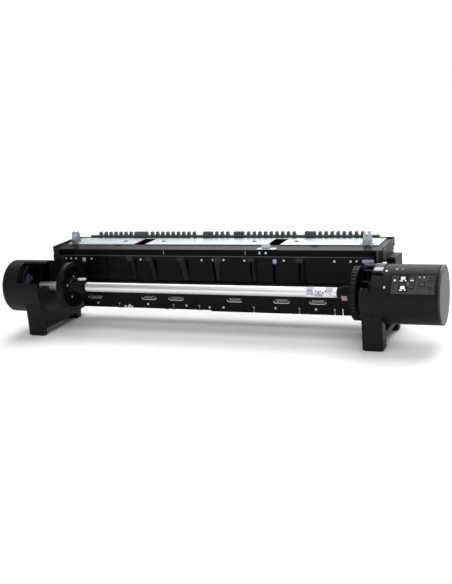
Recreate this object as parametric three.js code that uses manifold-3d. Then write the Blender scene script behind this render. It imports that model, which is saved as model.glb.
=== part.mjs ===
// Multifunction roll unit of a 44-inch class large format plotter.
// Millimetres, +X to the right as seen from the front, +Y to the back, +Z up.
// The solids are laid out with Y counted from the spool axis, Z from the floor and X from
// halfway between the two end caps; the finished unit is then centred in depth.
import * as THREE from "three";
import { mergeVertices } from "three/addons/utils/BufferGeometryUtils.js";
import Module from "manifold-3d";

const wasm = await Module();
wasm.setup();

// ---------------------------------------------------------------- driving dimensions
const WIDTH = 1593; // over both end caps
const GAP = 0.3; // between neighbouring solids
const SHEET = 2.5; // folded steel sheet

const DRUM = { r: 96, wall: 3, cap: 6.5, segments: 60 };
const AXIS_Z = 170; // spool axis above the floor
const BAY = { left: -644.5, right: 544.5 }; // inner faces of the two supports
const BAY_CENTRE = (BAY.left + BAY.right) / 2;
// Loading windows of the two drums, in degrees above the front.
const WINDOW = { low: 19.4, high: 80, highRight: 84, left: -736.5 };
const SUPPORT_END = 619; // seam between the right support and the right drum cover
const BULKHEAD = { inner: 5, middle: 580, thick: 3, outer: 615 }; // walls inside the right support

const SPOOL = { r: 17, bore: 13.5, left: -690, right: 606 };
const FLANGE = { r: 89, rim: 20, rimWall: 13, web: 7, hub: 24 };
const STOPPER_X = -570; // outer face of the sliding roll stopper
const FIXED_FLANGE_X = 511; // inner face of the fixed flange

const TRAY = { front: 100, back: 281.5, lipZ: 288.5, panZ: 292.5, skirtZ: 266, wallZ: 297.5 };
const TRAY_HALF = 630.5; // half length of the tray, from the bay centre
const ZINC = { half: 604.7, front: 159, back: 277, top: 295, sheet: 2.2 };
const PLATE_OPENINGS = [
  { x: -371, w: 48 },
  { x: 156, w: 48 },
];
const OPENING_Y = { front: 163, back: 258 };
const PLATE_HOLES = [-432, -271, 90, 249];

const COMB = { left: -625, right: 527, front: 282.5, back: 296, baseZ: 303, topZ: 316.3, pitch: 22 };
const FINGER_RUNS = [
  { x: -580, n: 7 },
  { x: -355, n: 9 },
  { x: -87, n: 3 },
  { x: 40, n: 9 },
  { x: 313, n: 8 },
];
const COMB_BLOCKS = [
  { x: -431, w: 56 },
  { x: -141, w: 37 },
  { x: -17, w: 38 },
  { x: 257, w: 39 },
];

const GUIDE = { topZ: 262, foldZ: 204.5, bottomZ: 168, topY: 104, foldY: 107, bottomY: 118, wall: 3 };
const GUIDE_SPLIT = -50;
// Tapered channels in the guide: left and right edge in X, at the top and at the bottom.
const CHANNELS = {
  left: [
    { top: [-480, -458], bottom: [-475, -467] },
    { top: [-365, -336], bottom: [-359, -346] },
    { top: [-287, -249], bottom: [-279, -262] },
    { top: [-167, -124], bottom: [-156, -134] },
  ],
  right: [
    { top: [-34, 8], bottom: [-35, -13] },
    { top: [110, 136], bottom: [108, 130] },
    { top: [195, 203], bottom: [187, 201] },
    { top: [286, 311], bottom: [284, 311] },
  ],
};
const CHANNEL = { topZ: 249, deep: 27, shallow: 16, wall: 2 };
const PANEL = { y: 118, topZ: 164, left: -590, split: -60, right: 491, leftZ: 61, rightZ: 57 };
const ROLLER = { x: [-536, -306, -196, 35, 212, 344], z: 104, r: 6.5, length: 50, axle: 2 };
const KEYHOLES = { x: [-436, -210, -106, 106, 275, 402], z: 76, r: 4.5, stem: 4 };
const SLITS = { x: [-239, 242, 305, 368, 431], w: 2.4, top: 80 };

const LEG = { inner: 596.2, split: 633.3, outer: 663.2, front: -80, back: 243, seamZ: 61, padZ: 3 };

const CONTROL = { left: 643, right: 780, half: 33, tilt: 54.5, floor: 84, plate: 3 };

// ---------------------------------------------------------------- materials
const paint = (color, roughness, metalness = 0) =>
  new THREE.MeshStandardMaterial({ color, roughness, metalness });
const MATERIAL = {
  casing: paint(0x2b2c2e, 0.55),
  cap: paint(0x37393b, 0.5),
  dark: paint(0x161718, 0.6),
  sheet: paint(0x1c1d1f, 0.45, 0.4),
  zinc: paint(0xc9d6dc, 0.35, 0.8),
  steel: paint(0xb9bcc0, 0.3, 0.9),
  aluminium: paint(0xd5d4cf, 0.25, 0.9),
  blue: paint(0x8fa3d0, 0.45),
  tan: paint(0xa89b84, 0.5),
  key: paint(0x3c3e40, 0.5),
  window: paint(0x08090a, 0.15),
  board: paint(0x1e4a33, 0.6),
  rubber: paint(0x121212, 0.9),
};

// ---------------------------------------------------------------- solids
// A closed three.js geometry as a manifold solid.
function solid(geometry) {
  const bare = geometry.clone();
  bare.deleteAttribute("normal");
  bare.deleteAttribute("uv");
  const merged = mergeVertices(bare, 1e-4);
  return new wasm.Manifold(
    new wasm.Mesh({
      numProp: 3,
      vertProperties: merged.attributes.position.array,
      triVerts: new Uint32Array(merged.index.array),
    }),
  );
}

// A manifold solid as a three.js geometry.
function geometryOf(body) {
  const mesh = body.getMesh();
  const geometry = new THREE.BufferGeometry();
  geometry.setAttribute("position", new THREE.BufferAttribute(mesh.vertProperties, 3));
  geometry.setIndex(new THREE.BufferAttribute(mesh.triVerts, 1));
  geometry.computeVertexNormals();
  return geometry;
}

const join = (...bodies) => bodies.reduce((whole, body) => whole.add(body));
const cut = (body, ...tools) => tools.reduce((rest, tool) => rest.subtract(tool), body);

// A box between two corners.
function box(x0, x1, y0, y1, z0, z1) {
  const geometry = new THREE.BoxGeometry(x1 - x0, y1 - y0, z1 - z0);
  geometry.translate((x0 + x1) / 2, (y0 + y1) / 2, (z0 + z1) / 2);
  return solid(geometry);
}

// Extrudes an outline of [a, b] points between two places on an axis.
// Along X the outline is [y, z], along Y it is [x, z], along Z it is [x, y].
const FRAMES = {
  X: new THREE.Matrix4().makeBasis(
    new THREE.Vector3(0, 1, 0),
    new THREE.Vector3(0, 0, 1),
    new THREE.Vector3(1, 0, 0),
  ),
  Y: new THREE.Matrix4().makeBasis(
    new THREE.Vector3(1, 0, 0),
    new THREE.Vector3(0, 0, 1),
    new THREE.Vector3(0, -1, 0),
  ),
  Z: new THREE.Matrix4(),
};
function extrude(axis, outline, from, to) {
  const shape = new THREE.Shape(outline.map(([a, b]) => new THREE.Vector2(a, b)));
  const geometry = new THREE.ExtrudeGeometry(shape, { depth: to - from, bevelEnabled: false });
  geometry.applyMatrix4(FRAMES[axis]);
  const start = axis === "Y" ? to : from;
  geometry.translate(axis === "X" ? start : 0, axis === "Y" ? start : 0, axis === "Z" ? start : 0);
  return solid(geometry);
}

// Points of a circle arc around [a, b], in degrees.
function arc(a, b, r, from, to, steps) {
  return Array.from({ length: steps + 1 }, (_, i) => {
    const t = THREE.MathUtils.degToRad(from + ((to - from) * i) / steps);
    return [a + r * Math.cos(t), b + r * Math.sin(t)];
  });
}

// A cylinder along an axis; the other two coordinates are its centre.
function rod(axis, r, from, to, a, b, segments = 32) {
  const outline = arc(a, b, r, 0, 360, segments).slice(0, -1);
  return extrude(axis, outline, from, to);
}

// A body turned about the X direction; the profile is [radius, x] and closes on itself or on the axis.
function turned(profile, y, z, segments) {
  const points = profile.map(([r, x]) => new THREE.Vector2(r, x));
  if (THREE.ShapeUtils.area(points) < 0) {
    points.reverse();
  }
  const geometry = new THREE.LatheGeometry(points, segments);
  geometry.rotateZ(-Math.PI / 2);
  geometry.translate(0, y, z);
  return solid(geometry);
}

// A wedge of the spool axis between two angles above the front, for cutting windows.
function wedge(low, high, r, x0, x1) {
  const rim = arc(0, AXIS_Z, r, 180 - low, 180 - high, 8);
  return extrude("X", [[0, AXIS_Z], ...rim], x0, x1);
}

// The room that a drum takes, with its gap.
const drumRoom = (x0, x1, r = DRUM.r + GAP) => rod("X", r, x0, x1, 0, AXIS_Z, DRUM.segments);
const tube = (r, bore, x0, x1, segments) =>
  cut(rod("X", r, x0, x1, 0, AXIS_Z, segments), rod("X", bore, x0 - 1, x1 + 1, 0, AXIS_Z, segments));

// ---------------------------------------------------------------- assembly
const unit = new THREE.Group();
function part(name, body, material, parent = unit) {
  const mesh = new THREE.Mesh(geometryOf(body), material);
  mesh.name = name;
  parent.add(mesh);
}

// ---------------------------------------------------------------- top frame
// Folded sheet: front face with a bottom return, sloped lip, pan under the zinc plate, rear wall.
function topTray() {
  const t = TRAY;
  const pan = t.panZ - SHEET;
  const outline = [
    [t.front, t.skirtZ],
    [t.front + 10, t.skirtZ],
    [t.front + 10, t.skirtZ + SHEET],
    [t.front + SHEET, t.skirtZ + SHEET],
    [t.front + SHEET, t.lipZ - SHEET],
    [t.front + 60, pan],
    [t.back - SHEET, pan],
    [t.back - SHEET, t.skirtZ],
    [t.back, t.skirtZ],
    [t.back, t.wallZ],
    [t.back - SHEET, t.wallZ],
    [t.back - SHEET, t.panZ],
    [t.front + 60, t.panZ],
    [t.front, t.lipZ],
  ];
  const tray = extrude("X", outline, BAY_CENTRE - TRAY_HALF, BAY_CENTRE + TRAY_HALF);
  return cut(tray, ...plateOpenings(2, 270, 300));
}

function plateOpenings(margin, z0, z1) {
  return PLATE_OPENINGS.map(({ x, w }) =>
    box(x - margin, x + w + margin, OPENING_Y.front - margin, OPENING_Y.back + margin, z0, z1),
  );
}

function zincPlate() {
  const z0 = ZINC.top - ZINC.sheet;
  const left = BAY_CENTRE - ZINC.half;
  const right = BAY_CENTRE + ZINC.half;
  const sheet = box(left, right, ZINC.front, ZINC.back, z0, ZINC.top);
  const holes = PLATE_HOLES.map((x) => rod("Z", 5, z0 - 1, ZINC.top + 1, x, 214, 16));
  const slots = [left, right].map((x) => {
    const inward = x === left ? 1 : -1;
    const ends = [x + inward * 4, x + inward * 22].sort((a, b) => a - b);
    return box(ends[0], ends[1], 262, 269, z0 - 1, ZINC.top + 1);
  });
  const notches = PLATE_OPENINGS.map(({ x, w }) =>
    box(x, x + w, ZINC.front - 1, OPENING_Y.back, z0 - 1, ZINC.top + 1),
  );
  return cut(sheet, ...notches, ...holes, ...slots);
}

// A long moulding with upright fingers and wide blocks; one outline in X and Z.
function rearComb() {
  const upright = [
    ...FINGER_RUNS.flatMap(({ x, n }) =>
      Array.from({ length: n }, (_, i) => ({ x: x + i * COMB.pitch - 4, w: 8, foot: 2.5 })),
    ),
    ...COMB_BLOCKS.map(({ x, w }) => ({ x, w, foot: 1 })),
  ].sort((a, b) => a.x - b.x);
  const top = upright.flatMap(({ x, w, foot }) => [
    [x - foot, COMB.baseZ],
    [x, COMB.topZ],
    [x + w, COMB.topZ],
    [x + w + foot, COMB.baseZ],
  ]);
  const outline = [
    [COMB.right, 286],
    [COMB.right, COMB.baseZ],
    ...top.reverse(),
    [COMB.left, COMB.baseZ],
    [COMB.left, 286],
  ];
  return extrude("Y", outline, COMB.front, COMB.back);
}

// End plate of the tray: front flange, side with two slots and a slanted lower edge.
function endPlate(side) {
  const outline = [
    [TRAY.front, 250],
    [200, 228],
    [246, 228],
    [252, 240],
    [252, 299],
    [TRAY.front, 299],
  ];
  const u = TRAY_HALF + GAP;
  const plate = extrude("X", outline, u, u + SHEET);
  const slots = [140, 234].map((y) => box(u - 1, u + SHEET + 1, y - 2, y + 2, 267, 276));
  const flange = box(u - 22, u + 0.5, TRAY.front - SHEET - GAP, TRAY.front - GAP, 250, 290);
  const corner = box(u, u + SHEET, TRAY.front - SHEET - GAP, TRAY.front + 0.5, 250, 299);
  return sided(join(cut(plate, ...slots), flange, corner), side);
}

// Puts a solid made for the right, with X counted from the bay centre, on either side.
function sided(body, side) {
  const geometry = geometryOf(body);
  if (side < 0) {
    geometry.applyMatrix4(new THREE.Matrix4().makeScale(-1, 1, 1));
    const index = geometry.index.array;
    for (let i = 0; i < index.length; i += 3) {
      [index[i + 1], index[i + 2]] = [index[i + 2], index[i + 1]];
    }
  }
  geometry.translate(BAY_CENTRE, 0, 0);
  return solid(geometry);
}

// Zinc post: base flange with an upright of front face and two side returns, narrower at the top.
function postBracket(x) {
  const z0 = ZINC.top + GAP;
  const top = 338;
  const base = box(x - 24, x + 24, 172, 204, z0, z0 + 2);
  const face = [
    [x - 16, z0],
    [x + 16, z0],
    [x + 10, top],
    [x - 10, top],
  ];
  const body = extrude("Y", face, 176, 196);
  const inside = extrude(
    "Y",
    [
      [x - 14, z0 + 2],
      [x + 14, z0 + 2],
      [x + 8, top + 1],
      [x - 8, top + 1],
    ],
    178,
    197,
  );
  const notch = box(x - 3, x + 3, 170, 180, 320, top + 1);
  return cut(join(base, cut(body, inside)), notch);
}

function middleBracket() {
  const z0 = TRAY.lipZ + 0.9;
  const base = extrude("X", [[101, z0], [118, z0 + 1.15], [118, z0 + 3.2], [101, z0 + 2.1]], 140, 208);
  const tab = box(153, 186, 112, 114, z0 + 1, 307);
  return join(base, tab);
}

// ---------------------------------------------------------------- paper path
function paperGuide(x0, x1, channels) {
  const g = GUIDE;
  const outline = [
    [g.topY, g.topZ],
    [g.foldY, g.foldZ],
    [g.bottomY, g.bottomZ],
    [g.bottomY + g.wall, g.bottomZ],
    [g.foldY + g.wall, g.foldZ],
    [g.topY + g.wall, g.topZ - g.wall],
    [g.topY + 26, g.topZ - g.wall],
    [g.topY + 26, g.topZ],
  ];
  const shell = extrude("X", outline, x0, x1);
  const bodies = channels.map((channel) => channelBody(channel, x0, x1));
  const rooms = channels.map((channel) => channelRoom(channel, x0, x1));
  return cut(join(shell, ...bodies), ...rooms);
}

// What a channel looks like from the front, widened by a margin.
function channelFace({ top, bottom }, margin) {
  return extrude(
    "Y",
    [
      [bottom[0] - margin, GUIDE.bottomZ - 1],
      [bottom[1] + margin, GUIDE.bottomZ - 1],
      [top[1] + margin, CHANNEL.topZ + margin],
      [top[0] - margin, CHANNEL.topZ + margin],
    ],
    90,
    170,
  );
}

// The walls and the floor of a channel, from just behind the guide's face.
function channelBody(channel, x0, x1) {
  const g = GUIDE;
  const c = CHANNEL;
  const side = [
    [g.topY + 1, c.topZ + c.wall],
    [g.topY + c.deep + c.wall, c.topZ + c.wall],
    [g.foldY + c.deep + c.wall, g.foldZ],
    [g.bottomY + c.shallow + c.wall, g.bottomZ],
    [g.bottomY + 1, g.bottomZ],
    [g.foldY + 1, g.foldZ],
  ];
  return channelFace(channel, c.wall).intersect(extrude("X", side, x0, x1));
}

function channelRoom(channel, x0, x1) {
  const g = GUIDE;
  const c = CHANNEL;
  const side = [
    [g.topY - 5, c.topZ],
    [g.topY + c.deep, c.topZ],
    [g.foldY + c.deep, g.foldZ],
    [g.bottomY + c.shallow, g.bottomZ - 1],
    [g.topY - 5, g.bottomZ - 1],
  ];
  return channelFace(channel, 0).intersect(extrude("X", side, x0, x1));
}

// Half of the lower sheet panel with roller slots, and keyholes and slits that open at its lower edge.
function lowerPanel(x0, x1, z0) {
  const p = PANEL;
  const sheet = box(x0, x1, p.y, p.y + SHEET, z0, p.topZ);
  const shelf = box(x0, x1, p.y, p.y + 30, p.topZ - SHEET, p.topZ);
  const inside = (x) => x > x0 && x < x1;
  const slots = ROLLER.x.filter(inside).map((x) => {
    const half = ROLLER.length / 2 - 4;
    const outline = [
      ...arc(x + half, ROLLER.z, 8, -90, 90, 8),
      ...arc(x - half, ROLLER.z, 8, 90, 270, 8),
    ];
    return extrude("Y", outline, p.y - 1, p.y + SHEET + 1);
  });
  const keyholes = KEYHOLES.x.filter(inside).map((x) =>
    join(
      rod("Y", KEYHOLES.r, p.y - 1, p.y + SHEET + 1, x, KEYHOLES.z, 16),
      box(x - KEYHOLES.stem / 2, x + KEYHOLES.stem / 2, p.y - 1, p.y + SHEET + 1, 50, KEYHOLES.z),
    ),
  );
  const slits = SLITS.x.filter(inside).map((x) =>
    box(x - SLITS.w / 2, x + SLITS.w / 2, p.y - 1, p.y + SHEET + 1, z0 - 1, SLITS.top),
  );
  return cut(join(sheet, shelf), ...slots, ...keyholes, ...slits);
}

// A metal roller lying in a slot, with its axle ends behind the sheet.
function guideRoller(x) {
  const half = ROLLER.length / 2 - 4;
  const y = PANEL.y + SHEET + 4.5;
  const barrel = rod("X", ROLLER.r, x - half, x + half, y, ROLLER.z, 20);
  return join(barrel, rod("X", ROLLER.axle, x - half - 6, x + half + 6, y, ROLLER.z, 12));
}

// Square tube between the legs, behind the lower panel.
function crossBeam() {
  const outer = box(BAY.left + 2.4, BAY.right + 1.5, 156, 196, 118, 158);
  return cut(outer, box(BAY.left, BAY.right + 4, 159, 193, 121, 155));
}

function rearPanel() {
  const sheet = box(BAY.left + 2.5, BAY.right + 1.5, 236, 236 + SHEET, 62, 250);
  const fold = box(BAY.left + 2.5, BAY.right + 1.5, 218, 236 + SHEET, 250 - SHEET, 250);
  return join(sheet, fold);
}

// ---------------------------------------------------------------- legs
// Built for the right with X counted from the bay centre: an inner and an outer slab of different outline.
function leg(side) {
  const inner = [
    [LEG.front, LEG.seamZ + GAP],
    [-58, LEG.seamZ + GAP],
    [-54, 24],
    [148, 24],
    [151, LEG.padZ + GAP],
    [178, LEG.padZ + GAP],
    [182, 30],
    [LEG.back, 34],
    [LEG.back, 205],
    [138, 205],
    [98, 190],
    [60, 120],
    [LEG.front, 120],
  ];
  const outer = [
    [LEG.front, LEG.seamZ + GAP],
    [-30, LEG.seamZ + GAP],
    [-30, 44],
    [-18, 35],
    [148, 34],
    [151, LEG.padZ + GAP],
    [178, LEG.padZ + GAP],
    [182, 30],
    [LEG.back, 34],
    [LEG.back, 251],
    [214, 256],
    [143, 258],
    [138, 255],
    [138, 205],
    [98, 190],
    [60, 120],
    [LEG.front, 120],
  ];
  const pocket = [
    [-44, 52],
    [112, 50],
    [70, 84],
    [-36, 84],
  ];
  const slabs = join(
    extrude("X", inner, LEG.inner, LEG.split + 0.5),
    extrude("X", outer, LEG.split, LEG.outer),
  );
  const toGo = [
    extrude("X", pocket, LEG.outer - 22, LEG.outer + 1),
    drumRoom(LEG.inner - 2, LEG.outer + 2, DRUM.r + 2 * GAP),
    box(LEG.inner - 1, LEG.split + 0.3, 136, 250, 206, 260),
    rod("X", 9, LEG.inner - 1, LEG.inner + 14, -5, 82, 20),
  ];
  return sided(cut(slabs, ...toGo), side);
}

// Lower part of the front foot: full width in front, only the outer wall behind.
function footShoe(side) {
  const front = box(LEG.inner, LEG.outer, LEG.front, -62, LEG.padZ + GAP, LEG.seamZ);
  const behind = box(LEG.split + 4, LEG.outer, -64, -31, LEG.padZ + GAP, LEG.seamZ);
  return sided(join(front, behind), side);
}

function rubberPad(side, y0, y1) {
  return sided(box(LEG.inner + 8, LEG.outer - 8, y0, y1, 0, LEG.padZ), side);
}

// ---------------------------------------------------------------- drums
const CAP_SPIGOT = 6;
function drumCap(side) {
  const end = WIDTH / 2;
  const seat = end - DRUM.cap;
  const spigot = DRUM.r - DRUM.wall - GAP;
  const rounding = arc(DRUM.r - 3, end - 3, 3, 90, 0, 2);
  const profile = [
    [0, end],
    ...rounding,
    [DRUM.r, seat],
    [spigot, seat],
    [spigot, seat - CAP_SPIGOT],
    [spigot - 3, seat - CAP_SPIGOT],
    [spigot - 3, seat + 2.5],
    [0, seat + 2.5],
  ];
  const cap = turned(profile, 0, AXIS_Z, DRUM.segments);
  if (side > 0) {
    return cap;
  }
  const geometry = geometryOf(cap);
  geometry.rotateZ(Math.PI);
  return solid(geometry);
}

function leftDrumCover() {
  const left = -WIDTH / 2 + DRUM.cap + GAP;
  const shell = tube(DRUM.r, DRUM.r - DRUM.wall, left, BAY.left, DRUM.segments);
  return cut(shell, wedge(WINDOW.low, WINDOW.high, DRUM.r * 1.3, WINDOW.left, BAY.left + 1));
}

// Bearing block for the left end of the shaft: two cheeks with open slots, joined under the rollers.
const CRADLE = { left: -708, right: -656, cheek: 8, slot: 20, rollerR: 9, axleR: 3 };
function cradleRollerAt(side) {
  const reach = SPOOL.r + CRADLE.rollerR + GAP;
  return { y: side * reach * Math.SQRT1_2, z: AXIS_Z - reach * Math.SQRT1_2 };
}
function leftCradle() {
  const cheek = [
    ...arc(0, AXIS_Z, 88, 185, 355, 12),
    [88, 200],
    [70, 245],
    [52, 256],
    [34, 256],
    [24, 240],
    [24, 196],
    [-40, 190],
  ];
  const cheeks = [CRADLE.left, CRADLE.right - CRADLE.cheek].map((x) =>
    extrude("X", cheek, x, x + CRADLE.cheek),
  );
  const web = box(CRADLE.left, CRADLE.right, -50, 50, 96, 124);
  const mouth = [
    ...arc(0, AXIS_Z, CRADLE.slot, -155, 20, 10),
    [18, 260],
    [-62, 260],
    [-62, 176],
    [-CRADLE.slot, 176],
  ];
  const axles = [-1, 1].map((side) => {
    const at = cradleRollerAt(side);
    return rod("X", CRADLE.axleR + GAP, CRADLE.left - 1, CRADLE.right + 1, at.y, at.z, 12);
  });
  const room = drumRoom(CRADLE.left - 1, CRADLE.right + 1, DRUM.r - DRUM.wall - 2 * GAP);
  const block = join(...cheeks, web).intersect(room);
  return cut(block, extrude("X", mouth, CRADLE.left - 1, CRADLE.right + 1), ...axles);
}
function cradleRoller(side) {
  const at = cradleRollerAt(side);
  const barrel = rod("X", CRADLE.rollerR, -698, -668, at.y, at.z, 24);
  return join(barrel, rod("X", CRADLE.axleR, CRADLE.left, CRADLE.right, at.y, at.z, 12));
}

// Blue holder behind the left journal, seen through the window.
function shaftHolder() {
  const outline = [
    [-58, 190],
    [-30, 190],
    [-22, 214],
    [-34, 226],
    [-46, 214],
    [-58, 206],
  ];
  return extrude("X", outline, -734, -714);
}

// Right support: shell with the loading window and the lever recess, a right wall and journal cheeks.
const LEVER = { left: 584, right: 616, low: 56, high: 92, r: 101.5, pivotY: 8, pivotZ: AXIS_Z + 88 };
const GEAR = { left: 556, right: 572, module: 2, teeth: 34, pinionTeeth: 14, mesh: 45 };
function pinionAt() {
  const reach = ((GEAR.teeth + GEAR.pinionTeeth) * GEAR.module) / 2 + 0.4;
  const t = THREE.MathUtils.degToRad(-GEAR.mesh);
  return { y: reach * Math.cos(t), z: AXIS_Z + reach * Math.sin(t) };
}
function rightSupport() {
  const end = SUPPORT_END - GAP;
  const shell = tube(DRUM.r, DRUM.r - DRUM.wall, BAY.right, end, DRUM.segments);
  const wall = (x0, x1) => rod("X", DRUM.r - DRUM.wall + 0.5, x0, x1, 0, AXIS_Z, DRUM.segments);
  const at = pinionAt();
  const slot = [
    ...arc(0, AXIS_Z, SPOOL.r + 3, -160, 20, 10),
    [22, 270],
    [-100, 270],
    [-100, 185],
    [-18.5, 185],
  ];
  const middleEnd = BULKHEAD.middle + BULKHEAD.thick;
  const slotted = [wall(BAY.right, BAY.right + BULKHEAD.inner), wall(BULKHEAD.middle, middleEnd)].map(
    (body) => cut(body, extrude("X", slot, BAY.right - 1, middleEnd + 1)),
  );
  const opening = wedge(WINDOW.low, WINDOW.highRight, DRUM.r * 1.3, BAY.right - 1, BULKHEAD.middle);
  const leverSweep = wedge(LEVER.low - 5, LEVER.high + 8, DRUM.r * 1.3, LEVER.left - 1, LEVER.right + 1);
  const leverDepth = tube(DRUM.r + 9, DRUM.r - 16, LEVER.left - 1, LEVER.right + 1, DRUM.segments);
  return cut(
    join(cut(shell, opening), ...slotted, wall(BULKHEAD.outer, end)),
    leverSweep.intersect(leverDepth),
    rod("X", 9, BULKHEAD.middle - 1, end + 1, at.y, at.z, 20),
  );
}

// Bearing block for the right end of the shaft, behind the gear.
function rightCradle() {
  const outline = [
    ...arc(0, AXIS_Z, SPOOL.r + 0.8, -170, -10, 10),
    [26, 168],
    [26, 142],
    [-26, 142],
    [-26, 168],
  ];
  return extrude("X", outline, 586, 606);
}

// The lever follows the drum's surface, with a thicker front lip and an eye at its pivot.
function releaseLever() {
  const low = 180 - LEVER.low;
  const high = 180 - LEVER.high;
  const inner = LEVER.r - 6;
  const paddle = [
    ...arc(0, AXIS_Z, LEVER.r, low, high, 8),
    ...arc(0, AXIS_Z, inner, high, low, 8),
  ];
  const lip = [
    ...arc(0, AXIS_Z, LEVER.r, low, low - 8, 2),
    ...arc(0, AXIS_Z, inner - 5, low - 8, low, 2),
  ];
  const eye = rod("X", 6, LEVER.left, LEVER.right, LEVER.pivotY, LEVER.pivotZ, 20);
  const arm = box(LEVER.left, LEVER.right, -4, LEVER.pivotY, LEVER.pivotZ - 2, LEVER.pivotZ + 9);
  return join(
    extrude("X", paddle, LEVER.left, LEVER.right),
    extrude("X", lip, LEVER.left, LEVER.right),
    arm,
    eye,
  );
}

// ---------------------------------------------------------------- right drum cover and controls
// The control panel has its own frame: X as the unit, Y up along the panel, Z out of it.
const panelFrame = new THREE.Group();
panelFrame.position.z = AXIS_Z;
panelFrame.rotation.x = THREE.MathUtils.degToRad(CONTROL.tilt);
unit.add(panelFrame);
const onPanel = (body) => {
  const geometry = geometryOf(body);
  geometry.rotateX(panelFrame.rotation.x);
  geometry.translate(0, 0, AXIS_Z);
  return solid(geometry);
};

function rightDrumCover() {
  const end = WIDTH / 2 - DRUM.cap - GAP;
  const c = CONTROL;
  const full = drumRoom(SUPPORT_END, end, DRUM.r - 0.5);
  const shell = tube(DRUM.r, DRUM.r - DRUM.wall, SUPPORT_END, end, DRUM.segments);
  const block = box(c.left - 3, c.right + 3, -c.half - 3, c.half + 3, c.floor - 4, 96);
  const liner = onPanel(block).intersect(full);
  const pocket = onPanel(box(c.left, c.right, -c.half, c.half, c.floor, 110));
  const hollow = onPanel(box(c.left + 2, c.right - 2, -c.half + 2, c.half - 2, 60, c.floor + 1));
  return cut(join(shell, liner), pocket, hollow);
}

const CELLS = {
  display_upper: { x: 681, y: 17.5, w: 29, h: 25 },
  display_lower: { x: 681, y: -13.5, w: 29, h: 23 },
  mode_key_upper: { x: 708, y: 16, w: 19, h: 21 },
  mode_key_lower: { x: 708, y: -8.5, w: 16, h: 13 },
  square_key: { x: 738.5, y: 1.5, w: 20, h: 15 },
};
const ARROWS = {
  up_key: { x: 764.5, y: 18, half: 9, h: 14 },
  down_key: { x: 764.5, y: -14, half: 9, h: -14 },
};
function cellOutline({ x, y, w, h }, grow) {
  const a = w / 2 + grow;
  const b = h / 2 + grow;
  return [
    [x - a, y - b],
    [x + a, y - b],
    [x + a, y + b],
    [x - a, y + b],
  ];
}
function arrowOutline({ x, y, half, h }, grow) {
  const wide = half + grow * 2;
  const tall = Math.sign(h) * (Math.abs(h) / 2 + grow * 1.5);
  const points = [
    [x - wide, y - tall],
    [x + wide, y - tall],
    [x, y + tall],
  ];
  return points;
}
const outlineOf = (name, grow) =>
  name in CELLS ? cellOutline(CELLS[name], grow) : arrowOutline(ARROWS[name], grow);

const PLATE_Z = { bottom: CONTROL.floor + GAP, top: CONTROL.floor + GAP + CONTROL.plate };
function panelPlate() {
  const c = CONTROL;
  const plate = box(c.left + 0.4, c.right - 0.4, -c.half + 0.4, c.half - 0.4, PLATE_Z.bottom, PLATE_Z.top);
  const holes = [...Object.keys(CELLS), ...Object.keys(ARROWS)].map((name) =>
    extrude("Z", outlineOf(name, 0.4), PLATE_Z.bottom - 1, PLATE_Z.top + 1),
  );
  return cut(plate, ...holes);
}
const KEY_Z = { bottom: 79, flange: 81.5, top: PLATE_Z.top + 1 };
function panelKey(name) {
  const cap = extrude("Z", outlineOf(name, 0), KEY_Z.bottom, KEY_Z.top);
  return join(cap, extrude("Z", outlineOf(name, 1), KEY_Z.bottom, KEY_Z.flange));
}
const displayWindow = (name) => extrude("Z", outlineOf(name, 0), 80, PLATE_Z.top + 0.4);
const controlBoard = () =>
  box(CONTROL.left + 8, CONTROL.right - 8, -CONTROL.half + 7, CONTROL.half - 7, 75.4, 77);

// ---------------------------------------------------------------- drive
// Straight-flanked gear teeth, set so that a tooth or a gap faces the given angle.
function gear(teeth, x0, x1, y, z, facing, bore) {
  const pitch = (teeth * GEAR.module) / 2;
  const root = pitch - 1.25 * GEAR.module;
  const tip = pitch + 0.8 * GEAR.module;
  const step = 360 / teeth;
  const outline = Array.from({ length: teeth }, (_, i) => {
    const middle = facing + i * step;
    return [
      [root, -0.3],
      [tip, -0.12],
      [tip, 0.12],
      [root, 0.3],
    ].map(([r, part_]) => {
      const t = THREE.MathUtils.degToRad(middle + part_ * step);
      return [y + r * Math.cos(t), z + r * Math.sin(t)];
    });
  }).flat();
  const body = extrude("X", outline, x0, x1);
  return bore ? cut(body, rod("X", bore, x0 - 1, x1 + 1, y, z, 32)) : body;
}
function spoolGear() {
  return gear(GEAR.teeth, GEAR.left, GEAR.right, 0, AXIS_Z, -GEAR.mesh, SPOOL.r + GAP);
}
function drivePinion() {
  const at = pinionAt();
  const facing = 180 - GEAR.mesh + 180 / GEAR.pinionTeeth;
  const wheel = gear(GEAR.pinionTeeth, GEAR.left, GEAR.right, at.y, at.z, facing, 0);
  return join(wheel, rod("X", 5, GEAR.right - 1, 646, at.y, at.z, 20));
}
function gearPlate() {
  const at = pinionAt();
  const disc = rod("X", DRUM.r - DRUM.wall - 1.5, SUPPORT_END + 1, SUPPORT_END + 4, 0, AXIS_Z, 48);
  return cut(disc, rod("X", 6, SUPPORT_END, SUPPORT_END + 5, at.y, at.z, 20));
}
function driveMotor() {
  const at = pinionAt();
  const x0 = SUPPORT_END + 4 + GAP;
  const can = rod("X", 26, x0, x0 + 70, at.y, at.z, 32);
  const bore = rod("X", 5.5, x0 - 1, 648, at.y, at.z, 20);
  return cut(can, bore);
}

// ---------------------------------------------------------------- spool
const spoolShaft = () => tube(SPOOL.r, SPOOL.bore, SPOOL.left, SPOOL.right, 40);

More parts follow.
